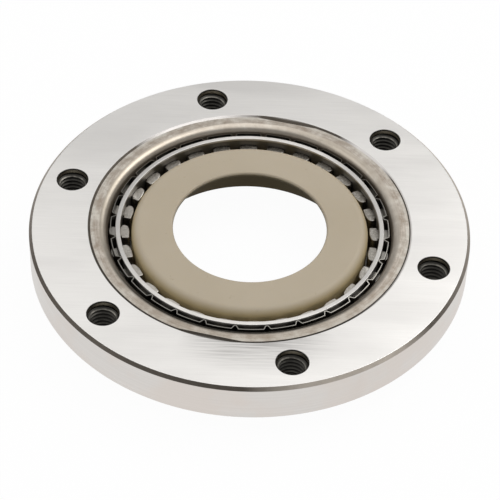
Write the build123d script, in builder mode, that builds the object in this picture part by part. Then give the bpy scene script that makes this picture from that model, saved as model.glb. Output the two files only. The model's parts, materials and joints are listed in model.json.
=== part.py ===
from build123d import *
import os
from math import atan2, ceil, cos, degrees, radians, sin, sqrt, tan

# One-way sprag clutch, lying flat with its open side up.
# Millimetres. The origin is the centre of the bottom face, +Z is the clutch axis,
# and the first tapped hole lies on +X.

os.makedirs("parts", exist_ok=True)

# Radii, from the inner race outwards: each is the one before it and a named width
inner_race_radius = 31.25
sprag_space = 5.85
lead_in_radius = 2.3
land_width = 2.17
land_chamfer_width = 0.67
face_to_bolt = 7.26
bolt_to_rim = 8.0
hub_wall = 6.4

# Outer race: one forging with a flange, a hub below it and the hardened bore
rim_thickness = 10.85
rim_chamfer = 0.85
rim_base_chamfer = 0.5
hub_chamfer = 1.0
land_depth = 0.25
lip_thickness = 1.3
lip_race_gap = 2.15

# Six tapped holes: the wall is at the thread's major radius
bolt_count = 6
thread_major_radius = 4.0

# Rounded edges of the turned pieces are cut as short cones, one for each chord of the arc
lead_in_chord_angle = 30
cage_rim_chord_angle = 60
insert_chord_angle = 45
small_round_chord_angle = 90

# Cage
sprag_count = 28
first_sprag_angle = 5.54
cage_race_gap = 2.6
cage_wall = 1.25
cage_depth_below_top = 1.15
cage_flange_thickness = 1.0
cage_running_gap = 0.1
window_side_gap = 0.15
window_end_gap = 0.15
window_floor_web = 1.45

# Sprags: two cam arcs with offset centres, on a stem that stands in the cage's window
sprag_length = 8.5
sprag_depth_below_top = 3.5
sprag_contact_gap = 0.09
sprag_foot_width = 4.8
sprag_foot_cam_radius = 4.0
sprag_foot_corner = 0.35
sprag_foot_cut_width = 1.5
sprag_foot_cut_height = 0.75
sprag_stem_width = 3.4
sprag_head_cam_radius = 3.0
sprag_head_chamfer = 0.4
sprag_cam_offset = 0.25
sprag_shoulder_height = 0.5
sprag_shoulder_gap = 0.3

# Ribbon spring, folded in to the cage between each pair of sprags
ribbon_thickness = 0.2
ribbon_depth_below_top = 1.47
ribbon_bore_gap = 0.64
ribbon_seat_gap = 0.05
ribbon_fold_mouth = 1.8
ribbon_fold_floor = 0.5
ribbon_window_side_gap = 0.4

# Transport insert: a moulded cap with one wall thickness, which stands in for the inner race
insert_race_gap = 0.3
insert_depth_below_top = 1.0
insert_disc_width = 10.85
insert_hole_fillet = 0.6
insert_edge_fillet = 2.3
insert_wall = 1.2
insert_floor_gap = 0.7

# Heights and radii that follow from the sizes above
bore_radius = inner_race_radius + sprag_space
lead_in_outer_radius = bore_radius + lead_in_radius
land_outer_radius = lead_in_outer_radius + land_width
face_inner_radius = land_outer_radius + land_chamfer_width
bolt_circle_radius = face_inner_radius + face_to_bolt
rim_radius = bolt_circle_radius + bolt_to_rim
hub_radius = bore_radius + hub_wall
lip_radius = inner_race_radius + lip_race_gap
cage_bottom = lip_thickness + cage_running_gap
cage_flange_top = cage_bottom + cage_flange_thickness
sprag_bottom = cage_flange_top + window_floor_web + window_end_gap
sprag_middle = sprag_bottom + sprag_length / 2
clutch_height = sprag_bottom + sprag_length + sprag_depth_below_top
flange_bottom = clutch_height - rim_thickness
land_height = clutch_height - land_depth
cage_inner_radius = inner_race_radius + cage_race_gap
cage_top = clutch_height - cage_depth_below_top
cage_outer_radius = cage_inner_radius + cage_wall
cage_flange_radius = bore_radius - cage_running_gap
pivot_radius = cage_inner_radius + cage_wall / 2
sprag_step = 360 / sprag_count
sprag_angles = [first_sprag_angle + step * sprag_step for step in range(sprag_count)]
window_width = sprag_stem_width + 2 * window_side_gap
window_height = sprag_length + 2 * window_end_gap
ribbon_window_width = sprag_stem_width + 2 * ribbon_window_side_gap
ribbon_top = clutch_height - ribbon_depth_below_top
ribbon_bottom = cage_flange_top + ribbon_seat_gap
ribbon_radius = bore_radius - ribbon_bore_gap - ribbon_thickness / 2
ribbon_fold_radius = cage_outer_radius + ribbon_seat_gap + ribbon_thickness / 2
insert_top = clutch_height - insert_depth_below_top
insert_radius = inner_race_radius - insert_race_gap
insert_hole_radius = insert_radius - insert_disc_width
cavity_radius = insert_radius - insert_wall
cavity_fillet = insert_edge_fillet - insert_wall


def polar(radius, angle):
    """The point at this radius and angle in degrees, seen from above."""
    return (radius * cos(radians(angle)), radius * sin(radians(angle)))


def chord_points(centre, radius, start, end, chord):
    """Points on an arc between two angles, one chord apart or a little less."""
    count = ceil(abs(end - start) / chord)
    angles = [start + (end - start) * step / count for step in range(count + 1)]
    return [(centre[0] + polar(radius, a)[0], centre[1] + polar(radius, a)[1]) for a in angles]


def arc_angle(length, radius):
    """The angle in degrees that an arc of this length takes at this radius."""
    return degrees(length / radius)


def radial_plane(angle, height):
    """A plane on the axis that faces outwards at this angle, with its own Y upwards."""
    outwards = (cos(radians(angle)), sin(radians(angle)), 0)
    sideways = (-sin(radians(angle)), cos(radians(angle)), 0)
    return Plane(origin=(0, 0, height), x_dir=sideways, z_dir=outwards)


def sprag_plane(angle):
    """The plane of a sprag's lower end, with its pivot as origin and its own Y outwards."""
    clockwise = (sin(radians(angle)), -cos(radians(angle)), 0)
    origin = (*polar(pivot_radius, angle), sprag_bottom)
    return Plane(origin=origin, x_dir=clockwise, z_dir=(0, 0, 1))


# Outer race
with BuildPart() as outer_race:
    with BuildSketch(Plane.XZ):
        with BuildLine():
            lead_in_centre = (lead_in_outer_radius, land_height - lead_in_radius)
            Polyline(
                *chord_points(lead_in_centre, lead_in_radius, 90, 180, lead_in_chord_angle),
                (bore_radius, lip_thickness),
                (lip_radius, lip_thickness),
                (lip_radius, 0),
                (hub_radius, 0),
                (hub_radius, flange_bottom),
                (rim_radius, flange_bottom),
                (rim_radius, clutch_height),
                (face_inner_radius, clutch_height),
                (land_outer_radius, land_height),
                close=True,
            )
        make_face()
    revolve(axis=Axis.Z)
    rim_edges = outer_race.edges().filter_by(GeomType.CIRCLE).group_by(SortBy.RADIUS)[-1].sort_by(Axis.Z)
    hub_edge = outer_race.edges().group_by(Axis.Z)[0].sort_by(SortBy.RADIUS)[-1]
    chamfer(rim_edges[-1], rim_chamfer)
    chamfer(rim_edges[0], rim_base_chamfer)
    chamfer(hub_edge, hub_chamfer)
    with Locations((0, 0, clutch_height)):
        with PolarLocations(bolt_circle_radius, bolt_count):
            Hole(radius=thread_major_radius)

outer_race.part.label = "outer_race"
export_step(outer_race.part, "parts/outer_race.step")

# Cage: a thin ring with a rounded rim, a foot flange that centres it in the bore, and the windows
with BuildPart() as sprag_cage:
    with BuildSketch(Plane.XZ):
        with BuildLine():
            rim_centre = (pivot_radius, cage_top - cage_wall / 2)
            Polyline(
                *chord_points(rim_centre, cage_wall / 2, 0, 180, cage_rim_chord_angle),
                (cage_inner_radius, cage_bottom),
                (cage_flange_radius, cage_bottom),
                (cage_flange_radius, cage_flange_top),
                (cage_outer_radius, cage_flange_top),
                close=True,
            )
        make_face()
    revolve(axis=Axis.Z)
    with BuildSketch(*[radial_plane(angle, sprag_middle) for angle in sprag_angles]):
        Rectangle(window_width, window_height)
    extrude(amount=cage_outer_radius + cage_wall, mode=Mode.SUBTRACT)

sprag_cage.part.label = "sprag_cage"
export_step(sprag_cage.part, "parts/sprag_cage.step")

# Ribbon spring: arcs over the sprags, joined by folds that reach in to the cage
leg_width = (ribbon_fold_mouth - ribbon_fold_floor) / 2
leg_turn = degrees(atan2(ribbon_radius - ribbon_fold_radius, leg_width))
corner_slip = tan(radians(leg_turn / 2))


def ribbon_outline(shift):
    """The closed line at this distance outside the ribbon's middle, each corner on its bisector."""
    outer = ribbon_radius + shift
    floor = ribbon_fold_radius + shift
    mouth_half = arc_angle(ribbon_fold_mouth / 2 - shift * corner_slip, ribbon_radius)
    floor_half = arc_angle(ribbon_fold_floor / 2 - shift * corner_slip, ribbon_fold_radius)
    for angle in sprag_angles:
        fold = angle + sprag_step / 2
        arc_start = polar(outer, fold - sprag_step + mouth_half)
        arc_end = polar(outer, fold - mouth_half)
        ThreePointArc(arc_start, polar(outer, angle), arc_end)
        Polyline(
            arc_end,
            polar(floor, fold - floor_half),
            polar(floor, fold + floor_half),
            polar(outer, fold + mouth_half),
        )


with BuildPart() as meander_spring:
    with BuildSketch(Plane.XY.offset(ribbon_bottom)):
        with BuildLine():
            ribbon_outline(ribbon_thickness / 2)
        make_face()
        with BuildLine():
            ribbon_outline(-ribbon_thickness / 2)
        make_face(mode=Mode.SUBTRACT)
    extrude(amount=ribbon_top - ribbon_bottom)
    with BuildSketch(*[radial_plane(angle, sprag_middle) for angle in sprag_angles]):
        Rectangle(ribbon_window_width, window_height)
    extrude(amount=bore_radius, mode=Mode.SUBTRACT)

meander_spring.part.label = "meander_spring"
export_step(meander_spring.part, "parts/meander_spring.step")

# Transport insert: an upturned cap with a large hole
with BuildPart() as inner_race_insert:
    with BuildSketch(Plane.XZ):
        with BuildLine():
            hole_centre = (insert_hole_radius + insert_hole_fillet, insert_top - insert_hole_fillet)
            edge_centre = (insert_radius - insert_edge_fillet, insert_top - insert_edge_fillet)
            Polyline(
                *chord_points(hole_centre, insert_hole_fillet, 180, 90, small_round_chord_angle),
                *chord_points(edge_centre, insert_edge_fillet, 90, 0, insert_chord_angle),
                (insert_radius, insert_floor_gap),
                (cavity_radius, insert_floor_gap),
                *chord_points(edge_centre, cavity_fillet, 0, 90, small_round_chord_angle),
                (insert_hole_radius, insert_top - insert_wall),
                close=True,
            )
        make_face()
    revolve(axis=Axis.Z)

inner_race_insert.part.label = "inner_race_insert"
export_step(inner_race_insert.part, "parts/inner_race_insert.step")

# Sprag outline, seen from above with the clutch's axis below it and clockwise to the right
foot_contact = inner_race_radius + sprag_contact_gap
head_contact = bore_radius - sprag_contact_gap
foot_centre = sqrt((foot_contact + sprag_foot_cam_radius) ** 2 - sprag_cam_offset**2) - pivot_radius
head_centre = sqrt((head_contact - sprag_head_cam_radius) ** 2 - sprag_cam_offset**2) - pivot_radius
foot_half = sprag_foot_width / 2
stem_half = sprag_stem_width / 2
stem_start = -cage_wall / 2 - sprag_shoulder_gap
shoulder = stem_start - sprag_shoulder_height


def foot_cam(x):
    """The inner cam's height at x."""
    return foot_centre - sqrt(sprag_foot_cam_radius**2 - (x + sprag_cam_offset) ** 2)


def head_cam(x):
    """The outer cam's height at x."""
    return head_centre + sqrt(sprag_head_cam_radius**2 - (x - sprag_cam_offset) ** 2)


def build_sprag(name, angle):
    """One sprag, which tilts about the middle of the cage's wall."""
    foot_left = (-foot_half + sprag_foot_corner, foot_cam(-foot_half + sprag_foot_corner))
    foot_right = (foot_half - sprag_foot_cut_width, foot_cam(foot_half - sprag_foot_cut_width))
    head_left = (-stem_half, head_cam(-stem_half))
    head_right = (stem_half, head_cam(stem_half))
    with BuildPart() as sprag:
        with BuildSketch(sprag_plane(angle)) as outline:
            with BuildLine():
                ThreePointArc(foot_left, (0, foot_cam(0)), foot_right)
                Polyline(
                    foot_right,
                    (foot_half, foot_right[1] + sprag_foot_cut_height),
                    (foot_half, shoulder),
                    (stem_half, stem_start),
                    head_right,
                )
                ThreePointArc(head_right, (0, head_cam(0)), head_left)
                Polyline(
                    head_left,
                    (-stem_half, stem_start),
                    (-foot_half, shoulder),
                    (-foot_half, foot_left[1] + sprag_foot_corner),
                    foot_left,
                )
            make_face()
            corners = outline.vertices().sort_by(Axis.Y)
            chamfer(corners[-2:], sprag_head_chamfer)
        extrude(amount=sprag_length)
    sprag.part.label = name
    export_step(sprag.part, f"parts/{name}.step")


for number, angle in enumerate(sprag_angles, start=1):
    build_sprag(f"sprag_{number:02d}", angle)
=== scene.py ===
import json
from functools import cached_property
from math import asin, atan2, ceil, cos, pi, radians, sin, tan

import bmesh
import bpy
from mathutils import Matrix, Vector

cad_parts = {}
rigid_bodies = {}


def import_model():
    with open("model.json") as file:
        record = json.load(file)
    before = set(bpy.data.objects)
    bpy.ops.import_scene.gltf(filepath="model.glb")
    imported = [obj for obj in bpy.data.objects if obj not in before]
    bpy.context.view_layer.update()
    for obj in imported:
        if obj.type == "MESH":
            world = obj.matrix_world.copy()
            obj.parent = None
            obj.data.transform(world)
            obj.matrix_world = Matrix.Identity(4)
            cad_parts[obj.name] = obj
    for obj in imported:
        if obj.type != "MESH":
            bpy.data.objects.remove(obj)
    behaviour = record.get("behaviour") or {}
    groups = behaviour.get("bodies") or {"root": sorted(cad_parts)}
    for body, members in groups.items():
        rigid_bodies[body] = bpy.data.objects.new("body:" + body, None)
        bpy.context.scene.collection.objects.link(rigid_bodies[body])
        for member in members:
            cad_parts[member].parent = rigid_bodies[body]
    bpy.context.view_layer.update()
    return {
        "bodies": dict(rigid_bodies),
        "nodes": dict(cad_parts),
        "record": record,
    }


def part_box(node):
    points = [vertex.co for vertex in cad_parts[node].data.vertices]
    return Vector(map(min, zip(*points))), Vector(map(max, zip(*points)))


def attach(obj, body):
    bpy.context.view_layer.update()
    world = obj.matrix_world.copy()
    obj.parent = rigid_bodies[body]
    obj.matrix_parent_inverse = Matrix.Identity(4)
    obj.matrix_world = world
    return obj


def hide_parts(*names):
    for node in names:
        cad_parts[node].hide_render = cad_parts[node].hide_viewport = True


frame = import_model()

# Sizes of the clutch, in metres, read from the frame where it has them
MM = 0.001
MOUNTS = {mount["name"]: mount for mount in frame["record"]["mounts"]}
BOLTS = MOUNTS["bolt_circle"]["dims"]
BOLT_COUNT = BOLTS["count"]
BOLT_CIRCLE = BOLTS["pcd_mm"] / 2 * MM
THREAD_MAJOR = BOLTS["hole_r_mm"] * MM
FLANGE_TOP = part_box("outer_race")[1][2]
FLANGE_BOTTOM = MOUNTS["flange_underside"]["pos_m"][2]
RIM_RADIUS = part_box("outer_race")[1][0]
RIM_CHAMFER = 0.85 * MM
RIM_BASE_CHAMFER = 0.5 * MM
FACE_INNER = 42.24 * MM
LAND_OUTER = 41.57 * MM
LAND_HEIGHT = FLANGE_TOP - 0.25 * MM
FLAT_DISTANCE = 40.75 * MM
FLAT_ANGLE = 77.3
LEAD_IN_RADIUS = 2.3 * MM
BORE_RADIUS = 37.1 * MM
HUB_RADIUS = MOUNTS["centring_hub"]["dims"]["r_mm"] * MM
HUB_CHAMFER = 1.0 * MM
LIP_RADIUS = 33.4 * MM
LIP_TOP = 1.3 * MM

SPRAGS = sorted(node for node in frame["bodies"] if node.startswith("sprag_"))
SPRAG_STEP = 2 * pi / len(SPRAGS)
FIRST_SPRAG = radians(5.54)
SPRAG_LOW, SPRAG_HIGH = (corner[2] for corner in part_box(SPRAGS[0]))
CAGE_INNER = 33.85 * MM
CAGE_WALL = 1.25 * MM
CAGE_OUTER = CAGE_INNER + CAGE_WALL
CAGE_TOP = FLANGE_TOP - 1.15 * MM
CAGE_RIM_FILLET = 0.22 * MM
CAGE_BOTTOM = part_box("sprag_cage")[0][2]
CAGE_FLANGE_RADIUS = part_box("sprag_cage")[1][0]
CAGE_FLANGE_TOP = CAGE_BOTTOM + 1.0 * MM
WINDOW_GAP = 0.15 * MM
WINDOW_WIDTH = 3.7 * MM

INSERT_LOW, INSERT_HIGH = (corner[2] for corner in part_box("inner_race_insert"))
INSERT_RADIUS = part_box("inner_race_insert")[1][0]
INSERT_DISC_WIDTH = 10.85 * MM
INSERT_HOLE = INSERT_RADIUS - INSERT_DISC_WIDTH
INSERT_WALL = 1.2 * MM
INSERT_HOLE_FILLET = 0.6 * MM
INSERT_EDGE_FILLET = 2.3 * MM

# A sprag's outline about its pivot, in millimetres: (clockwise, outwards, fillet radius)
SPRAG_OUTLINE = (
    (-2.40, -3.00, 0.40),
    (0.20, -3.16, 5.00),
    (2.40, -2.45, 1.30),
    (2.40, -0.98, 0.30),
    (1.70, -0.93, 0.30),
    (1.70, 2.10, 0.45),
    (0.20, 2.56, 2.50),
    (-1.70, 2.02, 0.45),
    (-1.70, -0.93, 0.30),
    (-2.40, -0.98, 0.30),
)

# Threads of the tapped holes. They thin out over part of a turn at each end.
THREAD_PITCH = 1.25 * MM
THREAD_MINOR = 3.35 * MM
THREAD_FOOT = THREAD_MAJOR - 0.01 * MM
THREAD_FOOT_GAP = 0.2 * MM
THREAD_CREST_FLAT = 0.16 * MM
THREAD_TOP = FLANGE_TOP - 0.9 * MM
THREAD_BOTTOM = FLANGE_BOTTOM + 0.1 * MM
THREAD_RUNOUT = 0.35
THREAD_THINNEST = 0.02

# Small rounds on edges that are sharp in the solids
EDGE = 0.12 * MM
ROOT_FILLET = 0.4 * MM
SHALLOW_FILLET = 0.4 * MM
MOULDED_EDGE = 0.3 * MM
SPRAG_EDGE = 0.25 * MM
WINDOW_EDGE = 0.08 * MM

# How finely the rounds are divided, and how near two points are the same
ARC_STEP = radians(12)
SHARP_ANGLE = radians(35)
BEVEL_SEGMENTS = 3
RACE_STEPS = 256
HOLE_STEPS = 72
INSERT_STEPS = 192
THREAD_STEPS = 56
WINDOW_COLUMNS = 3
POST_COLUMNS = 3
CELL_COLUMNS = WINDOW_COLUMNS + POST_COLUMNS
SAME_POINT = 0.0005 * MM
SAME_HEIGHT = 0.001 * MM

# The photograph's camera, solved from its circles and holes
VIEW_TURN = radians(16.4)
CAMERA_ELEVATION = radians(44.517)
CAMERA_DISTANCE = 0.5651
CAMERA_ROLL = radians(2.128)
CAMERA_PAN = radians(-0.026)
CAMERA_TILT = radians(-0.713)
CAMERA_CLIP = 0.01
SENSOR_WIDTH = 36.0
LENS = 156.02

# The floor, and how much of white it shows to the camera
FLOOR_SIZE = 3.0
FLOOR_DROP = 0.2 * MM
FLOOR_SHARE = 0.965
FLOOR_ROUGHNESS = 0.9

# The room: its plain level, then patches as (azimuth, elevation, inner angle, outer angle, level)
ROOM_LEVEL = 0.45
SKY_PATCHES = (
    (140, 70, 5, 48, 1.45),
    (180, 12, 8, 42, 0.25),
    (0, 40, 15, 55, 0.28),
    (0, 84, 4, 34, 1.2),
)

# Soft square lamps: (name, azimuth, elevation, distance, size, power)
LAMP_AIM = Vector((0, 0, FLANGE_TOP / 2))
LAMPS = (
    ("key_lamp", 110, 55, 0.9, 0.5, 1.6),
    ("fill_lamp", -88, 45, 0.9, 0.6, 1.2),
    ("side_lamp", 138, 42, 0.5, 0.25, 0.22),
    ("left_lamp", -142, 42, 0.5, 0.25, 0.075),
)

# Where the finishes and the painted light and shade change
# How far out the painted reflection on the face's front reaches
PAINTED_REFLECTION_END = 47.5 * MM
WALL_FINISH_TOP = FLANGE_BOTTOM + 3 * MM
CHAMFER_START = RIM_RADIUS - RIM_CHAMFER + 0.03 * MM
CHAMFER_LOWEST = FLANGE_TOP - RIM_CHAMFER + 0.03 * MM
STEP_LOWEST = FLANGE_TOP - 3 * MM
STEP_THIN_START = LAND_OUTER + 0.34 * MM
STEP_WORN_START = FLAT_DISTANCE + 1.15 * MM
LAND_RIM_START = LAND_OUTER - 0.8 * MM
LEAD_ROUND_END = BORE_RADIUS + LEAD_IN_RADIUS - 0.15 * MM
# Top of the painted shade low on the lead-in's front
LEAD_LOW_FRONT_SHADE_TOP = LAND_HEIGHT - 0.08 * MM
LEAD_FOOT_TOP = LAND_HEIGHT - 1.5 * MM
LEAD_DEEP_SHADE_TOP = LAND_HEIGHT - 4 * MM
HOLE_FINISH_RADIUS = THREAD_MAJOR + 0.23 * MM
HOLE_PLAIN_LOW = FLANGE_TOP - 1.25 * MM
HOLE_PLAIN_HIGH = FLANGE_TOP - 0.3 * MM
THREAD_CREST_END = THREAD_MINOR + 0.22 * MM
THREAD_LIT_BOTTOM = THREAD_TOP - 2.1 * MM
CAGE_BRIGHT_BOTTOM = CAGE_TOP - 0.62 * MM
INSERT_SIDE_TOP = INSERT_HIGH - 0.9 * MM
INSERT_INSIDE_RADIUS = INSERT_RADIUS - INSERT_WALL + 0.1 * MM

# Marks in the finishes: a border's usual blur, and the part of a lobe that is fully 1
BLUR = 0.04 * MM
LOBE_CORE = 0.4


def grey(level, warm=0.0):
    """A linear grey, warmer as warm rises."""
    return (level * (1 + warm), level, level * (1 - warm), 1)


# Linear colours. A pair holds the darkest and the lightest of a mottled surface.
WHITE = grey(1)
FLOOR_WHITE = grey(0.86)
GROUND_PAIR = (0.762, 0.742, 0.715, 1), (0.925, 0.906, 0.876, 1)
GROUND_PATCH = grey(0.62, 0.03)
# Painted reflection on the front of the face
GROUND_PAINTED_REFLECTION = grey(0.43, 0.035)
WALL_PAIR = grey(0.60, 0.045), grey(0.74, 0.04)
WALL_TINT = (0.70, 0.635, 0.585, 1)
LEAD_PAIR = (0.40, 0.345, 0.285, 1), (0.72, 0.66, 0.585, 1)
LEAD_RINGS = (0.33, 0.28, 0.23, 1)
LEAD_STAIN = (0.31, 0.245, 0.19, 1)
LEAD_BARE = (0.74, 0.70, 0.63, 1)
LEAD_RIM = (0.68, 0.66, 0.60, 1)
LEAD_FRONT_SHADE = (0.34, 0.285, 0.225, 1)
LEAD_ROUND = (0.62, 0.565, 0.485, 1)
LEAD_SHADED = (0.34, 0.298, 0.24, 1)
LEAD_FOOT = (0.42, 0.345, 0.265, 1)
LEAD_DEEP_SHADE = (0.12, 0.10, 0.078, 1)
# Painted shade, near black, low on the lead-in's front
LEAD_LOW_FRONT_SHADE = (0.035, 0.028, 0.020, 1)
STEP_PAIR = (0.045, 0.038, 0.030, 1), (0.10, 0.087, 0.072, 1)
# Painted highlight on the step
STEP_HIGHLIGHT = grey(0.60, 0.04)
STEP_WORN = grey(0.36, 0.05)
STEP_THIN = grey(0.66, 0.04)
CHAMFER_PAIR = (0.105, 0.09, 0.075, 1), (0.18, 0.16, 0.137, 1)
CHAMFER_HIGHLIGHT_PAIR = (0.52, 0.465, 0.40, 1), (0.78, 0.71, 0.63, 1)
HOLE_SHADE = (0.030, 0.028, 0.025, 1)
HOLE_PLAIN = (0.60, 0.53, 0.40, 1)
# Painted shade in the threads, then a painted highlight on their crests
THREAD_SHADE_PAIR = (0.022, 0.021, 0.019, 1), (0.050, 0.048, 0.043, 1)
THREAD_CREST_HIGHLIGHT = (0.25, 0.236, 0.208, 1)
CAGE_PAIR = grey(0.42, 0.045), grey(0.58, 0.04)
CAGE_HIGHLIGHT_PAIR = grey(0.63, 0.045), grey(0.83, 0.04)
CAGE_CLOUD = (0.56, 0.57, 0.54, 1)
CAGE_LOW_PAIR = (0.18, 0.172, 0.158, 1), (0.28, 0.268, 0.25, 1)
RIBBON_PAIR = (0.18, 0.170, 0.152, 1), (0.30, 0.288, 0.262, 1)
RIBBON_BACK_SHADE = (0.060, 0.052, 0.042, 1)
SPRAG_PAIR = (0.20, 0.184, 0.160, 1), (0.42, 0.392, 0.350, 1)
SPRAG_BACK_SHADE = (0.10, 0.090, 0.074, 1)
SPRAG_FRONT_LIGHT = (0.66, 0.635, 0.60, 1)
SPRAG_SPECKS = (0.50, 0.47, 0.43, 1)
# Painted highlight on the sprags' edges
SPRAG_EDGE_HIGHLIGHT = (0.74, 0.71, 0.66, 1)
SPRAG_HEAD_SHADE = (0.32, 0.305, 0.28, 1)
NYLON_PAIR = (0.403, 0.345, 0.258, 1), (0.459, 0.399, 0.312, 1)
NYLON_SPECKS = (0.27, 0.22, 0.15, 1)
NYLON_SIDE_BOUNCE_LIGHT = (0.50, 0.395, 0.215, 1)
NYLON_INSIDE_SHADE = (0.060, 0.042, 0.012, 1)
NYLON_SHINE = (1.0, 0.85, 0.60, 1)


def place_camera():
    """The camera of the photograph, aimed at the middle of the flange's top face and then trimmed."""
    back = Vector((0, -cos(CAMERA_ELEVATION), sin(CAMERA_ELEVATION)))
    right = Vector((1, 0, 0))
    up = back.cross(right)
    aim = Matrix((right, up, back)).transposed()
    trim = (
        Matrix.Rotation(CAMERA_PAN, 3, "Y")
        @ Matrix.Rotation(CAMERA_TILT, 3, "X")
        @ Matrix.Rotation(CAMERA_ROLL, 3, "Z")
    )
    turn = Matrix.Rotation(VIEW_TURN, 3, "Z")
    data = bpy.data.cameras.new("photo_camera")
    data.sensor_width = SENSOR_WIDTH
    data.lens = LENS
    data.clip_start = CAMERA_CLIP
    camera = bpy.data.objects.new("photo_camera", data)
    bpy.context.scene.collection.objects.link(camera)
    place = turn @ back * CAMERA_DISTANCE + Vector((0, 0, FLANGE_TOP))
    camera.matrix_world = Matrix.Translation(place) @ (turn @ aim @ trim).to_4x4()
    bpy.context.scene.camera = camera


class Graph:
    """A node tree, with one short method for each kind of node that the finishes and the room use.
    A Mix node's sockets 2 and 3 are its two numbers, and 6 and 7 its two colours."""

    def __init__(self, tree):
        self.tree = tree

    def join(self, value, socket):
        """Links another node's output to a socket, or sets the socket to a plain value."""
        if isinstance(value, bpy.types.NodeSocket):
            self.tree.links.new(value, socket)
        else:
            socket.default_value = value

    def node(self, kind, **inputs):
        """A new node with these inputs, given as values or as other nodes' outputs."""
        node = self.tree.nodes.new(kind)
        for name, value in inputs.items():
            self.join(value, node.inputs[name.replace("_", " ")])
        return node

    def math(self, operation, first, second=0.0):
        """One operation on one or two numbers."""
        node = self.tree.nodes.new("ShaderNodeMath")
        node.operation = operation
        self.join(first, node.inputs[0])
        self.join(second, node.inputs[1])
        return node.outputs[0]

    def times(self, first, second):
        """The product of two numbers."""
        return self.math("MULTIPLY", first, second)

    def most(self, first, second):
        """The larger of two numbers."""
        return self.math("MAXIMUM", first, second)

    def rest(self, value):
        """What a number lacks to 1."""
        return self.math("SUBTRACT", 1.0, value)

    def vector(self, operation, first, second=None, scale=None):
        """One operation on one or two vectors."""
        node = self.tree.nodes.new("ShaderNodeVectorMath")
        node.operation = operation
        self.join(first, node.inputs[0])
        if second is not None:
            self.join(second, node.inputs[1])
        if scale is not None:
            self.join(scale, node.inputs["Scale"])
        return node.outputs["Value" if operation in ("DOT_PRODUCT", "LENGTH") else "Vector"]

    def mix(self, share, first, second):
        """A colour between two others."""
        node = self.tree.nodes.new("ShaderNodeMix")
        node.data_type = "RGBA"
        self.join(share, node.inputs["Factor"])
        self.join(first, node.inputs[6])
        self.join(second, node.inputs[7])
        return node.outputs[2]

    def blend(self, share, first, second):
        """A number between two others."""
        node = self.tree.nodes.new("ShaderNodeMix")
        node.data_type = "FLOAT"
        self.join(share, node.inputs["Factor"])
        self.join(first, node.inputs[2])
        self.join(second, node.inputs[3])
        return node.outputs[0]

    def fade(self, value, start, end, first=0.0, last=1.0, shape="LINEAR"):
        """A number that goes from first to last while the value goes from start to end."""
        node = self.tree.nodes.new("ShaderNodeMapRange")
        node.interpolation_type = shape
        self.join(value, node.inputs["Value"])
        node.inputs["From Min"].default_value = start
        node.inputs["From Max"].default_value = end
        node.inputs["To Min"].default_value = first
        node.inputs["To Max"].default_value = last
        return node.outputs["Result"]

    def seen_by(self, *rays):
        """1 for rays of these kinds and 0 for the others."""
        path = self.node("ShaderNodeLightPath")
        seen = path.outputs[rays[0]]
        for ray in rays[1:]:
            seen = self.most(seen, path.outputs[ray])
        return seen


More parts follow.
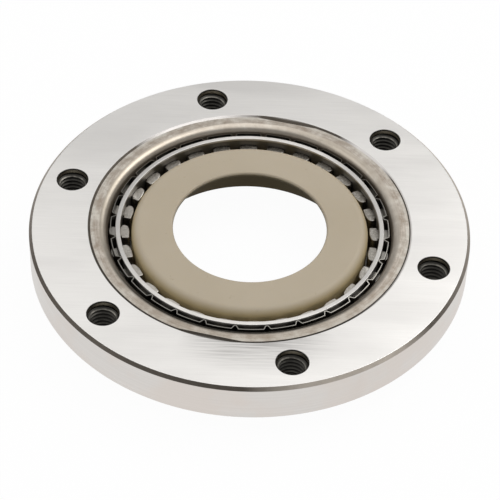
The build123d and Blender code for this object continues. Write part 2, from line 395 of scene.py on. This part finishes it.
class Finish(Graph):
    """A material's node tree, with the places and marks on the clutch that the finishes share."""

    def __init__(self, name):
        self.material = bpy.data.materials.new(name)
        self.material.use_nodes = True
        super().__init__(self.material.node_tree)
        self.shader = self.tree.nodes["Principled BSDF"]
        self.place = self.node("ShaderNodeTexCoord").outputs["Object"]
        self.x, self.y, self.z = self.node("ShaderNodeSeparateXYZ", Vector=self.place).outputs

    @cached_property
    def level_place(self):
        """The place seen from above, as a vector from the clutch axis."""
        return self.node("ShaderNodeCombineXYZ", X=self.x, Y=self.y).outputs[0]

    @cached_property
    def radius(self):
        """The distance from the clutch axis."""
        return self.vector("LENGTH", self.level_place)

    @cached_property
    def outwards(self):
        """The unit vector away from the clutch axis."""
        return self.vector("NORMALIZE", self.level_place)

    @cached_property
    def angle(self):
        """The angle round the clutch axis."""
        return self.math("ARCTAN2", self.y, self.x)

    @cached_property
    def from_hole(self):
        """The distance from the nearest tapped hole's axis."""
        sector = 2 * pi / BOLT_COUNT
        shifted = self.math("ADD", self.angle, 2 * pi + sector / 2)
        local = self.math("SUBTRACT", self.math("MODULO", shifted, sector), sector / 2)
        along = self.math("SUBTRACT", self.times(self.radius, self.math("COSINE", local)), BOLT_CIRCLE)
        across = self.times(self.radius, self.math("SINE", local))
        return self.vector("LENGTH", self.node("ShaderNodeCombineXYZ", X=along, Y=across).outputs[0])

    def above(self, value, edge, blur=BLUR):
        """0 below the edge and 1 above it, with a soft border as wide as the blur."""
        return self.fade(value, edge - blur / 2, edge + blur / 2)

    def below(self, value, edge, blur=BLUR):
        """1 below the edge and 0 above it, with a soft border as wide as the blur."""
        return self.rest(self.above(value, edge, blur))

    def band(self, value, low, high, blur=BLUR):
        """1 between two edges and 0 outside them."""
        return self.math("SUBTRACT", self.above(value, low, blur), self.above(value, high, blur))

    def towards(self, direction, half):
        """1 towards one direction from the axis, and 0 beyond half an opening from it, in degrees.
        As the photograph shows the clutch, 0 is its right, 90 its back and -90 its front."""
        facing = self.math("COSINE", self.math("SUBTRACT", self.angle, radians(direction) + VIEW_TURN))
        return self.fade(facing, cos(radians(half)), cos(radians(half * LOBE_CORE)))

    def stretched(self, scale, turn=0.0):
        """The object's coordinates, turned about the axis and then scaled."""
        turned = self.node("ShaderNodeMapping", Vector=self.place, Rotation=(0, 0, turn))
        return self.node("ShaderNodeMapping", Vector=turned.outputs[0], Scale=scale).outputs[0]

    def ringed(self, around, across):
        """Coordinates for marks that run round the axis: coarse along the circle, fine across it."""
        ring = self.vector("SCALE", self.outwards, scale=around)
        rise = self.node("ShaderNodeCombineXYZ", Z=self.times(self.radius, across)).outputs[0]
        return self.vector("ADD", ring, rise)

    def noise(self, vector, scale=1.0, detail=3.0, roughness=0.6):
        """A cloudy number from 0 to 1."""
        settings = {"Scale": scale, "Detail": detail, "Roughness": roughness}
        return self.node("ShaderNodeTexNoise", Vector=vector, **settings).outputs["Fac"]

    def bump(self, height, depth, strength, normal=None):
        """A normal that follows a height of up to this depth."""
        node = self.node("ShaderNodeBump", Height=height, Distance=depth, Strength=strength)
        if normal is not None:
            self.join(normal, node.inputs["Normal"])
        return node.outputs["Normal"]

    def finish(self, **inputs):
        """Sets the shader's sockets and gives the material back."""
        for name, value in inputs.items():
            self.join(value, self.shader.inputs[name.replace("_", " ")])
        return self.material


def ground_face(g, marks):
    """The ground top face, with marks that run across the view and a darker streaky stretch in front that
    is a painted reflection.
    """
    broad = g.noise(g.stretched((22, 90, 22), -VIEW_TURN), roughness=0.5)
    streaks = g.noise(g.stretched((70, 2600, 70), -VIEW_TURN), detail=4.0)
    colour = g.mix(marks, *GROUND_PAIR)
    colour = g.mix(g.fade(broad, 0.44, 0.64, 0.0, 0.35), colour, GROUND_PATCH)
    # Painted reflection: the face darker in a streaky stretch at the front
    painted_reflection = g.times(g.towards(-86, half=26), g.below(g.radius, PAINTED_REFLECTION_END, blur=9 * MM))
    painted_reflection = g.times(painted_reflection, g.fade(streaks, 0.38, 0.62, 0.25, 1.0))
    return g.mix(painted_reflection, colour, GROUND_PAINTED_REFLECTION)


def turned_wall(g):
    """The flange's turned side wall, with fine level marks and pale brown clouds."""
    turning = g.noise(g.stretched((30, 30, 2600)))
    blotch = g.noise(g.place, 60)
    colour = g.mix(turning, *WALL_PAIR)
    return g.mix(g.fade(blotch, 0.42, 0.60, 0.0, 0.6), colour, WALL_TINT)


def lead_in(g, mottle, on_round, on_foot):
    """The land and the lead-in: brown and stained, with round marks, a dark foot, and painted shade in
    front, on parts of the round and deep in the bore.
    """
    rings = g.noise(g.ringed(9, 3200))
    stain = g.noise(g.place, 260, detail=4.0, roughness=0.7)
    colour = g.mix(mottle, *LEAD_PAIR)
    colour = g.mix(g.fade(rings, 0.42, 0.62, 0.5, 0.0), colour, LEAD_RINGS)
    colour = g.mix(g.fade(stain, 0.50, 0.64, 0.0, 0.6), colour, LEAD_STAIN)
    colour = g.mix(g.fade(stain, 0.36, 0.48, 0.55, 0.0), colour, LEAD_BARE)
    rim = g.band(g.radius, LAND_RIM_START, LAND_OUTER, blur=0.4 * MM)
    rim = g.times(rim, g.fade(mottle, 0.42, 0.60, 0.1, 0.65))
    colour = g.mix(rim, colour, LEAD_RIM)
    # Painted shade: the land and the lead-in darker towards the front
    colour = g.mix(g.times(g.towards(-85, half=75), 0.30), colour, LEAD_FRONT_SHADE)
    colour = g.mix(g.times(on_round, 0.5), colour, LEAD_ROUND)
    shaded = g.most(g.towards(160, half=60), g.times(g.towards(52, half=34), 0.75))
    colour = g.mix(g.times(g.times(on_round, shaded), 0.72), colour, LEAD_SHADED)
    colour = g.mix(on_foot, colour, LEAD_FOOT)
    # Painted shade: darker deep down the bore
    colour = g.mix(g.below(g.z, LEAD_DEEP_SHADE_TOP, blur=2.4 * MM), colour, LEAD_DEEP_SHADE)
    # Painted shade: near black on the lead-in just below the land, towards the front
    low_front_shade = g.times(g.below(g.z, LEAD_LOW_FRONT_SHADE_TOP, blur=0.12 * MM), g.towards(-98, half=72))
    return g.mix(low_front_shade, colour, LEAD_LOW_FRONT_SHADE)


def step_line(g, mottle, reach):
    """The step between land and face: dark, with a painted highlight in two places at the back, worn at
    the flats and thin on the right."""
    # Painted highlight: the step lighter in two places at the back
    step_highlight = g.most(g.towards(113, half=26), g.towards(41, half=15))
    colour = g.mix(step_highlight, g.mix(mottle, *STEP_PAIR), STEP_HIGHLIGHT)
    worn = g.times(g.above(reach, STEP_WORN_START, blur=0.5 * MM), 0.6)
    colour = g.mix(worn, colour, STEP_WORN)
    thin = g.times(g.towards(0, half=52), g.above(g.radius, STEP_THIN_START, blur=0.1 * MM))
    return g.mix(thin, colour, STEP_THIN)


def rim_chamfer(g, mottle):
    """The outer chamfer: dark from heat treatment, with a painted highlight at the front right, right and
    back.
    """
    # Painted highlight: the chamfer lighter at the front right, right and back
    chamfer_highlight = g.most(g.towards(-63, half=27), g.times(g.towards(80, half=118), 0.85))
    return g.mix(chamfer_highlight, g.mix(mottle, *CHAMFER_PAIR), g.mix(mottle, *CHAMFER_HIGHLIGHT_PAIR))


def hole_wall(g):
    """A tapped hole's wall: near black as painted shade, with a plain tan band above the threads, lighter
    towards the back as painted light.
    """
    plain = g.band(g.z, HOLE_PLAIN_LOW, HOLE_PLAIN_HIGH, blur=0.3 * MM)
    # Painted light: the tan band stronger towards the back of the hole
    plain = g.times(plain, g.blend(g.towards(95, half=80), 0.65, 1.0))
    # Painted shade: the rest of the wall near black
    return g.mix(plain, HOLE_SHADE, HOLE_PLAIN)


def race_material():
    """Steel of the outer race, with one finish for each of its surfaces."""
    g = Finish("race_steel")
    marks = g.noise(g.stretched((60, 5200, 60), -VIEW_TURN), detail=4.0, roughness=0.65)
    fleck = g.noise(g.place, 420)
    mottle = g.noise(g.place, 330, detail=4.0, roughness=0.7)

    # How far a place reaches towards either flat
    flat_way = radians(FLAT_ANGLE) + VIEW_TURN
    reach = g.vector("DOT_PRODUCT", g.place, (cos(flat_way), sin(flat_way), 0))
    reach = g.math("ABSOLUTE", reach)

    # Where each surface lies
    outside = g.above(g.radius, CHAMFER_START)
    on_chamfer = g.times(outside, g.above(g.z, CHAMFER_LOWEST))
    on_wall = g.most(outside, g.below(g.z, WALL_FINISH_TOP))
    past_flat = g.above(reach, FLAT_DISTANCE, blur=0.08 * MM)
    on_flat = g.times(past_flat, g.below(g.radius, FACE_INNER, blur=0.08 * MM))
    on_line = g.most(g.band(g.radius, LAND_OUTER, FACE_INNER, blur=0.08 * MM), on_flat)
    on_line = g.times(on_line, g.above(g.z, STEP_LOWEST))
    on_round = g.below(g.radius, LEAD_ROUND_END, blur=0.3 * MM)
    on_foot = g.below(g.z, LEAD_FOOT_TOP, blur=1.6 * MM)
    in_bore = g.below(g.radius, LAND_OUTER)
    in_hole = g.below(g.from_hole, HOLE_FINISH_RADIUS)

    colour = g.mix(on_wall, ground_face(g, marks), turned_wall(g))
    colour = g.mix(in_bore, colour, lead_in(g, mottle, on_round, on_foot))
    colour = g.mix(on_line, colour, step_line(g, mottle, reach))
    colour = g.mix(on_chamfer, colour, rim_chamfer(g, mottle))
    colour = g.mix(in_hole, colour, hole_wall(g))
    rough = g.blend(marks, 0.30, 0.40)
    rough = g.blend(on_wall, rough, 0.40)
    rough = g.blend(in_bore, rough, g.blend(on_round, 0.36, g.blend(on_foot, 0.32, 0.62)))
    rough = g.blend(g.most(on_line, on_chamfer), rough, 0.50)
    rough = g.blend(in_hole, rough, 0.42)
    normal = g.bump(g.blend(0.5, marks, fleck), depth=0.012 * MM, strength=0.5)
    return g.finish(Base_Color=colour, Metallic=1.0, Roughness=rough, Normal=normal)


def cage_material():
    """Bright rolled steel of the cage, with a painted highlight at front and back, and darker below its
    rim.
    """
    g = Finish("cage_steel")
    rolled = g.noise(g.stretched((220, 220, 2400)))
    cloud = g.noise(g.place, 260)
    # Painted highlight: the cage lighter at the front and the back
    cage_highlight = g.most(g.towards(-98, half=66), g.towards(84, half=44))
    colour = g.mix(cage_highlight, g.mix(rolled, *CAGE_PAIR), g.mix(rolled, *CAGE_HIGHLIGHT_PAIR))
    colour = g.mix(g.times(cloud, 0.3), colour, CAGE_CLOUD)
    below_rim = g.below(g.z, CAGE_BRIGHT_BOTTOM, blur=0.2 * MM)
    colour = g.mix(below_rim, colour, g.mix(cloud, *CAGE_LOW_PAIR))
    rough = g.blend(cloud, 0.42, 0.55)
    normal = g.bump(cloud, depth=0.010 * MM, strength=0.4)
    return g.finish(Base_Color=colour, Metallic=1.0, Roughness=rough, Normal=normal)


def ribbon_material():
    """Thin spring strip, rolled and slightly straw-coloured, with painted shade at the back and a cut
    edge that slopes outwards.
    """
    g = Finish("ribbon_steel")
    rolled = g.noise(g.stretched((300, 300, 3000)))
    cloud = g.noise(g.place, 500, detail=2.0, roughness=0.5)
    colour = g.mix(rolled, *RIBBON_PAIR)
    # Painted shade: the strip darker towards the back
    colour = g.mix(g.times(g.towards(90, half=85), 0.7), colour, RIBBON_BACK_SHADE)
    rough = g.blend(cloud, 0.28, 0.42)
    facing = g.node("ShaderNodeNewGeometry").outputs["Normal"]
    slope = g.vector("SCALE", g.outwards, scale=0.32)
    sloped = g.vector("NORMALIZE", g.vector("ADD", facing, slope))
    normal = g.bump(cloud, depth=0.006 * MM, strength=0.4, normal=sloped)
    return g.finish(Base_Color=colour, Metallic=1.0, Roughness=rough, Normal=normal)


def sprag_material():
    """Tumbled hardened steel with specks, painted highlights on the edges and in front, and painted shade
    at the back right and on the heads.
    """
    g = Finish("sprag_steel")
    grain = g.noise(g.place, 2300, roughness=0.7)
    cloud = g.noise(g.place, 420)
    colour = g.mix(cloud, *SPRAG_PAIR)
    # Painted shade: the sprags darker towards the back right
    colour = g.mix(g.times(g.towards(55, half=110), 0.6), colour, SPRAG_BACK_SHADE)
    # Painted light: the sprags lighter towards the front
    colour = g.mix(g.times(g.towards(-98, half=58), 0.7), colour, SPRAG_FRONT_LIGHT)
    colour = g.mix(g.fade(grain, 0.47, 0.60, 0.0, 0.6), colour, SPRAG_SPECKS)
    edges = g.node("ShaderNodeNewGeometry").outputs["Pointiness"]
    # Painted highlight: the sprags lighter on their sharp edges
    colour = g.mix(g.fade(edges, 0.52, 0.60, 0.0, 0.7), colour, SPRAG_EDGE_HIGHLIGHT)
    # Painted shade: the heads beyond the cage darker
    colour = g.mix(g.above(g.radius, CAGE_OUTER, blur=0.4 * MM), colour, SPRAG_HEAD_SHADE)
    rough = g.blend(grain, 0.26, 0.42)
    normal = g.bump(grain, depth=0.010 * MM, strength=0.5)
    return g.finish(Base_Color=colour, Metallic=1.0, Roughness=rough, Normal=normal)


def insert_material():
    """Tan moulded nylon, satin and a little cloudy, with painted bounce light on the sides and painted
    shade inside.
    """
    g = Finish("tan_nylon")
    cloud = g.noise(g.place, 55, roughness=0.55)
    grain = g.noise(g.place, 2200)
    specks = g.noise(g.place, 700, detail=2.0, roughness=0.5)
    colour = g.mix(cloud, *NYLON_PAIR)
    colour = g.mix(g.fade(specks, 0.70, 0.78, 0.0, 0.25), colour, NYLON_SPECKS)
    # Painted bounce light: the sides a warmer, deeper brown
    colour = g.mix(g.below(g.z, INSERT_SIDE_TOP, blur=1.4 * MM), colour, NYLON_SIDE_BOUNCE_LIGHT)
    # Painted shade: near black inside the cap, under the hole's fillet
    inner = g.below(g.radius, INSERT_INSIDE_RADIUS)
    under = g.below(g.z, INSERT_HIGH - INSERT_HOLE_FILLET, blur=0.4 * MM)
    colour = g.mix(g.times(inner, under), colour, NYLON_INSIDE_SHADE)
    return g.finish(
        Base_Color=colour,
        Metallic=0.0,
        Roughness=g.blend(grain, 0.40, 0.52),
        Normal=g.bump(grain, depth=0.012 * MM, strength=0.35),
        Specular_IOR_Level=0.35,
        Specular_Tint=NYLON_SHINE,
        Subsurface_Weight=0.12,
        Subsurface_Scale=0.8 * MM,
        Subsurface_Radius=(1.0, 0.8, 0.5),
    )


def thread_material():
    """Dark steel of the cut threads as painted shade, with a painted highlight on the crests, strongest
    near the top.
    """
    g = Finish("thread_steel")
    grain = g.noise(g.place, 1400)
    patches = g.noise(g.place, 520)
    # Painted highlight on the thread crests, strongest where lit near the top; the rest is painted shade
    lit = g.above(g.z, THREAD_LIT_BOTTOM, blur=0.8 * MM)
    crest = g.below(g.from_hole, THREAD_CREST_END, blur=0.3 * MM)
    crest = g.times(crest, g.blend(lit, 0.14, 1.0))
    crest = g.times(crest, g.fade(patches, 0.40, 0.58, 0.35, 1.0))
    colour = g.mix(crest, g.mix(grain, *THREAD_SHADE_PAIR), THREAD_CREST_HIGHLIGHT)
    rough = g.blend(grain, 0.30, 0.48)
    normal = g.bump(grain, depth=0.008 * MM, strength=0.4)
    return g.finish(Base_Color=colour, Metallic=1.0, Roughness=rough, Normal=normal)


def dress(node, material):
    """Puts one material on a node that the frame holds."""
    slots = frame["nodes"][node].data.materials
    slots.clear()
    slots.append(material)


def rounded(corners):
    """A closed outline through (across, up, fillet radius) corners, with points along each fillet."""
    points = []
    for index, (across, up, radius) in enumerate(corners):
        here = Vector((across, up))
        if radius == 0:
            points.append(here)
            continue
        before = (Vector(corners[index - 1][:2]) - here).normalized()
        after = (Vector(corners[(index + 1) % len(corners)][:2]) - here).normalized()
        half = before.angle(after) / 2
        centre = here + (before + after).normalized() * (radius / sin(half))
        start = here + before * (radius / tan(half)) - centre
        end = here + after * (radius / tan(half)) - centre
        turn = atan2(start.cross(end), start.dot(end))
        steps = ceil(abs(turn) / ARC_STEP)
        for step in range(steps + 1):
            points.append(centre + Matrix.Rotation(turn * step / steps, 2) @ start)
    return points


def flat_strip(outline, height):
    """The place in an outline where its straight stretch at this height starts."""
    for index, point in enumerate(outline):
        after = outline[(index + 1) % len(outline)]
        if abs(point.y - height) < SAME_HEIGHT and abs(after.y - height) < SAME_HEIGHT:
            return index
    raise ValueError(f"the outline has no flat stretch at {height}")


def bridge(mesh, first, second, skipped=()):
    """Faces between two closed rows of points, without those that start at a skipped place."""
    for index in range(len(first)):
        after = (index + 1) % len(first)
        if index not in skipped:
            mesh.faces.new((first[index], second[index], second[after], first[after]))


def turned_rings(mesh, outline, steps):
    """An outline of (radius, height) points at each of this many steps round the clutch axis."""
    rings = []
    for step in range(steps):
        angle = 2 * pi * step / steps
        rings.append([mesh.verts.new((p.x * cos(angle), p.x * sin(angle), p.y)) for p in outline])
    return rings


def skin(mesh, rings, skipped=()):
    """Faces between each ring and the next, all the way round."""
    for ring, following in zip(rings, rings[1:] + rings[:1]):
        bridge(mesh, ring, following, skipped)


def fill_face(mesh, loops):
    """One flat face that these closed loops of points bound, the inner ones as holes."""
    edges = []
    for loop in loops:
        for first, second in zip(loop, loop[1:] + loop[:1]):
            edges.append(mesh.edges.get((first, second)))
    bmesh.ops.triangle_fill(mesh, use_beauty=True, use_dissolve=False, edges=edges)


def add_object(name, mesh, material):
    """A new object from a bmesh, with its faces turned outwards."""
    bmesh.ops.recalc_face_normals(mesh, faces=mesh.faces)
    data = bpy.data.meshes.new(name)
    mesh.to_mesh(data)
    mesh.free()
    data.materials.append(material)
    piece = bpy.data.objects.new(name, data)
    bpy.context.scene.collection.objects.link(piece)
    return piece


def settle(piece):
    """Puts the mesh that a piece's modifiers make in the place of the modifiers."""
    graph = bpy.context.evaluated_depsgraph_get()
    made = bpy.data.meshes.new_from_object(piece.evaluated_get(graph), depsgraph=graph)
    piece.modifiers.clear()
    piece.data = made


def make_piece(name, mesh, material, edge=0.0):
    """A piece from a bmesh, with smooth rounds, flat faces and, where an edge is given, soft corners."""
    bmesh.ops.remove_doubles(mesh, verts=mesh.verts, dist=SAME_POINT)
    piece = add_object(name, mesh, material)
    data = piece.data
    data.polygons.foreach_set("use_smooth", [True] * len(data.polygons))
    if edge:
        bevel = piece.modifiers.new("soft_edges", "BEVEL")
        bevel.limit_method = "ANGLE"
        bevel.angle_limit = SHARP_ANGLE
        bevel.width = edge
        bevel.segments = BEVEL_SEGMENTS
    else:
        data.set_sharp_from_angle(angle=SHARP_ANGLE)
    normals = piece.modifiers.new("flat_faces", "WEIGHTED_NORMAL")
    normals.keep_sharp = True
    settle(piece)
    return piece


def stand_for(piece, node, body):
    """This piece is what shows of a node, and it moves with the node's body."""
    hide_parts(node)
    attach(piece, body)


def cut_flats(rings, outline):
    """Moves the foot of the face's inner wall in to two opposite straight lines."""
    foot = []
    for index, point in enumerate(outline):
        if abs(point.x - LAND_OUTER) < SHALLOW_FILLET and abs(point.y - LAND_HEIGHT) < SHALLOW_FILLET / 4:
            foot.append(index)
    for ring in rings:
        place = ring[foot[0]].co
        facing = abs(cos(atan2(place.y, place.x) - radians(FLAT_ANGLE) - VIEW_TURN))
        if LAND_OUTER * facing <= FLAT_DISTANCE:
            continue
        inwards = LAND_OUTER - FLAT_DISTANCE / facing
        for index in foot:
            place = ring[index].co
            place.xy = place.xy * (1 - inwards / place.xy.length)


def hole_loops(mesh, number):
    """The wall of one tapped hole, with softened ends. Gives back its top and bottom loops."""
    middle = 2 * pi * number / BOLT_COUNT
    levels = (
        (FLANGE_TOP, EDGE),
        (FLANGE_TOP - EDGE, 0),
        (FLANGE_BOTTOM + EDGE, 0),
        (FLANGE_BOTTOM, EDGE),
    )
    loops = []
    for height, flare in levels:
        loop = []
        for step in range(HOLE_STEPS):
            angle = 2 * pi * step / HOLE_STEPS
            x = BOLT_CIRCLE * cos(middle) + (THREAD_MAJOR + flare) * cos(angle)
            y = BOLT_CIRCLE * sin(middle) + (THREAD_MAJOR + flare) * sin(angle)
            loop.append(mesh.verts.new((x, y, height)))
        loops.append(loop)
    for above, below in zip(loops, loops[1:]):
        bridge(mesh, above, below)
    return loops[0], loops[-1]


def build_race(material):
    """The outer race with round fillets and softened edges, cut by the six holes."""
    outline = rounded(
        (
            (LIP_RADIUS, LIP_TOP, EDGE),
            (LIP_RADIUS, 0, EDGE),
            (HUB_RADIUS - HUB_CHAMFER, 0, EDGE),
            (HUB_RADIUS, HUB_CHAMFER, EDGE),
            (HUB_RADIUS, FLANGE_BOTTOM, ROOT_FILLET),
            (RIM_RADIUS - RIM_BASE_CHAMFER, FLANGE_BOTTOM, EDGE),
            (RIM_RADIUS, FLANGE_BOTTOM + RIM_BASE_CHAMFER, EDGE),
            (RIM_RADIUS, FLANGE_TOP - RIM_CHAMFER, EDGE),
            (RIM_RADIUS - RIM_CHAMFER, FLANGE_TOP, EDGE),
            (FACE_INNER, FLANGE_TOP, SHALLOW_FILLET),
            (LAND_OUTER, LAND_HEIGHT, SHALLOW_FILLET),
            (BORE_RADIUS, LAND_HEIGHT, LEAD_IN_RADIUS),
            (BORE_RADIUS, LIP_TOP, EDGE),
        )
    )
    top = flat_strip(outline, FLANGE_TOP)
    bottom = flat_strip(outline, FLANGE_BOTTOM)
    mesh = bmesh.new()
    rings = turned_rings(mesh, outline, RACE_STEPS)
    cut_flats(rings, outline)
    skin(mesh, rings, (top, bottom))
    upper = [[ring[top] for ring in rings], [ring[top + 1] for ring in rings]]
    lower = [[ring[bottom] for ring in rings], [ring[bottom + 1] for ring in rings]]
    for number in range(BOLT_COUNT):
        hole_top, hole_bottom = hole_loops(mesh, number)
        upper.append(hole_top)
        lower.append(hole_bottom)
    fill_face(mesh, upper)
    fill_face(mesh, lower)
    stand_for(make_piece("flange_and_race", mesh, material), "outer_race", "outer_race")


def cage_column(number, radius):
    """The angle of one of the cage's columns, which keep to the windows' straight sides."""
    cell, part = divmod(number, CELL_COLUMNS)
    middle = FIRST_SPRAG + cell * SPRAG_STEP
    half = asin(WINDOW_WIDTH / 2 / radius)
    if part <= WINDOW_COLUMNS:
        return middle + half * (2 * part / WINDOW_COLUMNS - 1)
    return middle + half + (SPRAG_STEP - 2 * half) * (part - WINDOW_COLUMNS) / POST_COLUMNS


def build_cage(material):
    """The cage with its round rim, its foot flange and one window for each sprag."""
    low = SPRAG_LOW - WINDOW_GAP
    high = SPRAG_HIGH + WINDOW_GAP
    outline = rounded(
        (
            (CAGE_OUTER, low, 0),
            (CAGE_OUTER, high, 0),
            (CAGE_OUTER, CAGE_TOP, CAGE_RIM_FILLET),
            (CAGE_INNER, CAGE_TOP, CAGE_RIM_FILLET),
            (CAGE_INNER, high, 0),
            (CAGE_INNER, low, 0),
            (CAGE_INNER, CAGE_BOTTOM, EDGE),
            (CAGE_FLANGE_RADIUS, CAGE_BOTTOM, EDGE),
            (CAGE_FLANGE_RADIUS, CAGE_FLANGE_TOP, EDGE),
            (CAGE_OUTER, CAGE_FLANGE_TOP, EDGE),
        )
    )
    mesh = bmesh.new()
    rings = []
    for number in range(len(SPRAGS) * CELL_COLUMNS):
        ring = []
        for point in outline:
            angle = cage_column(number, point.x)
            ring.append(mesh.verts.new((point.x * cos(angle), point.x * sin(angle), point.y)))
        rings.append(ring)

    # A window's corners in the outline: outside low and high, then inside high and low
    inner_high = outline.index(Vector((CAGE_INNER, high)))
    corners = (0, 1, inner_high, inner_high + 1)
    for number, ring in enumerate(rings):
        following = rings[(number + 1) % len(rings)]
        part = number % CELL_COLUMNS
        in_window = part < WINDOW_COLUMNS
        bridge(mesh, ring, following, (0, inner_high) if in_window else ())
        here = [ring[corner] for corner in corners]
        ahead = [following[corner] for corner in corners]
        if part in (0, WINDOW_COLUMNS):
            mesh.faces.new(here)
        if in_window:
            mesh.faces.new((here[0], ahead[0], ahead[3], here[3]))
            mesh.faces.new((here[1], ahead[1], ahead[2], here[2]))
    stand_for(make_piece("cage_ring", mesh, material, WINDOW_EDGE), "sprag_cage", "cage")


def build_insert(material):
    """The moulded cap with round fillets inside and out."""
    outline = rounded(
        (
            (INSERT_HOLE, INSERT_HIGH, INSERT_HOLE_FILLET),
            (INSERT_RADIUS, INSERT_HIGH, INSERT_EDGE_FILLET),
            (INSERT_RADIUS, INSERT_LOW, MOULDED_EDGE),
            (INSERT_RADIUS - INSERT_WALL, INSERT_LOW, MOULDED_EDGE),
            (INSERT_RADIUS - INSERT_WALL, INSERT_HIGH - INSERT_WALL, INSERT_EDGE_FILLET - INSERT_WALL),
            (INSERT_HOLE, INSERT_HIGH - INSERT_WALL, MOULDED_EDGE),
        )
    )
    mesh = bmesh.new()
    skin(mesh, turned_rings(mesh, outline, INSERT_STEPS))
    stand_for(make_piece("transport_cap", mesh, material), "inner_race_insert", "insert")


def build_sprags(material):
    """The sprags: a wide foot on the inner race's side, a stem in the cage's window and a cam head."""
    outline = rounded([[value * MM for value in corner] for corner in SPRAG_OUTLINE])
    pivot = CAGE_INNER + CAGE_WALL / 2
    for number, node in enumerate(SPRAGS):
        angle = FIRST_SPRAG + number * SPRAG_STEP
        outwards = Vector((cos(angle), sin(angle), 0))
        clockwise = Vector((sin(angle), -cos(angle), 0))
        mesh = bmesh.new()
        ends = []
        for height in (SPRAG_LOW, SPRAG_HIGH):
            middle = outwards * pivot + Vector((0, 0, height))
            ends.append([mesh.verts.new(middle + clockwise * p.x + outwards * p.y) for p in outline])
            mesh.faces.new(ends[-1])
        bridge(mesh, *ends)
        piece = make_piece(f"tumbled_{node}", mesh, material, SPRAG_EDGE)
        stand_for(piece, node, node)


def helix_ridge(mesh, x, y):
    """One thread: a ridge that winds up the wall of the hole at this place, thin at both ends."""
    turns = (THREAD_TOP - THREAD_BOTTOM - THREAD_PITCH) / THREAD_PITCH
    half_foot = (THREAD_PITCH - THREAD_FOOT_GAP) / 2
    half_crest = THREAD_CREST_FLAT / 2
    rings = []
    for index in range(int(turns * THREAD_STEPS) + 1):
        turn = index / THREAD_STEPS
        thickness = max(THREAD_THINNEST, min(1.0, min(turn, turns - turn) / THREAD_RUNOUT))
        angle = 2 * pi * turn
        height = THREAD_BOTTOM + THREAD_PITCH / 2 + turn * THREAD_PITCH
        crest = THREAD_FOOT - (THREAD_FOOT - THREAD_MINOR) * thickness
        outline = (
            (THREAD_FOOT, -half_foot * thickness),
            (crest, -half_crest * thickness),
            (crest, half_crest * thickness),
            (THREAD_FOOT, half_foot * thickness),
        )
        ring = []
        for radius, lift in outline:
            place = (x + radius * cos(angle), y + radius * sin(angle), height + lift)
            ring.append(mesh.verts.new(place))
        rings.append(ring)
    for lower, upper in zip(rings, rings[1:]):
        bridge(mesh, lower, upper)
    mesh.faces.new(reversed(rings[0]))
    mesh.faces.new(rings[-1])


def build_threads(material):
    """The cut threads of all six holes, each its own piece on the outer race."""
    for number in range(BOLT_COUNT):
        angle = 2 * pi * number / BOLT_COUNT
        mesh = bmesh.new()
        helix_ridge(mesh, BOLT_CIRCLE * cos(angle), BOLT_CIRCLE * sin(angle))
        piece = add_object(f"hole_thread_{number + 1}", mesh, material)
        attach(piece, "outer_race")


def floor_material():
    """Pale and matt for the light. The camera and gloss see it almost white, with a faint shadow,
    but not in the ring that the clutch covers."""
    g = Finish("floor_white")
    g.finish(Base_Color=FLOOR_WHITE, Roughness=FLOOR_ROUGHNESS, Specular_IOR_Level=0.0)
    seen = g.seen_by("Is Camera Ray", "Is Transmission Ray", "Is Glossy Ray")
    uncovered = g.rest(g.band(g.radius, INSERT_RADIUS, HUB_RADIUS))
    glow = g.node("ShaderNodeEmission", Color=WHITE, Strength=1.0)
    mix = g.node("ShaderNodeMixShader", Fac=g.times(g.times(seen, FLOOR_SHARE), uncovered))
    g.join(g.shader.outputs["BSDF"], mix.inputs[1])
    g.join(glow.outputs["Emission"], mix.inputs[2])
    g.join(mix.outputs["Shader"], g.tree.nodes["Material Output"].inputs["Surface"])
    return g.material


def build_floor():
    """The floor, just under the clutch."""
    bpy.ops.mesh.primitive_plane_add(size=FLOOR_SIZE, location=(0, 0, -FLOOR_DROP))
    floor = bpy.context.object
    floor.name = "floor"
    floor.data.materials.append(floor_material())


def sky_way(azimuth, elevation):
    """The unit vector towards a point of the sky. Azimuth 0 is the camera's side, in degrees."""
    turn = radians(azimuth) + VIEW_TURN
    level = cos(radians(elevation))
    return Vector((sin(turn) * level, -cos(turn) * level, sin(radians(elevation))))


def build_world():
    """White to the camera. For light and gloss, a grey room with a large soft box behind and above
    the clutch, and the dark of the photographer's side."""
    world = bpy.data.worlds.new("studio")
    bpy.context.scene.world = world
    world.use_nodes = True
    g = Graph(world.node_tree)
    direction = g.node("ShaderNodeTexCoord").outputs["Generated"]
    light = grey(ROOM_LEVEL)
    for azimuth, elevation, inner, outer, level in SKY_PATCHES:
        facing = g.vector("DOT_PRODUCT", direction, sky_way(azimuth, elevation))
        patch = g.fade(facing, cos(radians(outer)), cos(radians(inner)), shape="SMOOTHSTEP")
        light = g.mix(patch, light, grey(level))
    shown = g.mix(g.seen_by("Is Camera Ray", "Is Transmission Ray"), light, WHITE)
    g.join(shown, g.tree.nodes["Background"].inputs["Color"])


def add_lamp(name, azimuth, elevation, distance, size, power):
    """A square soft lamp, aimed at the clutch. Azimuth 0 is the camera's side, in degrees."""
    data = bpy.data.lights.new(name, "AREA")
    data.shape = "SQUARE"
    data.size = size
    data.energy = power
    lamp = bpy.data.objects.new(name, data)
    way = sky_way(azimuth, elevation)
    lamp.location = LAMP_AIM + way * distance
    lamp.rotation_euler = way.to_track_quat("Z", "Y").to_euler()
    bpy.context.scene.collection.objects.link(lamp)


place_camera()
dress("meander_spring", ribbon_material())
build_race(race_material())
build_cage(cage_material())
build_insert(insert_material())
build_sprags(sprag_material())
build_threads(thread_material())
build_floor()
build_world()
for lamp in LAMPS:
    add_lamp(*lamp)
bpy.context.scene.view_settings.view_transform = "Standard"
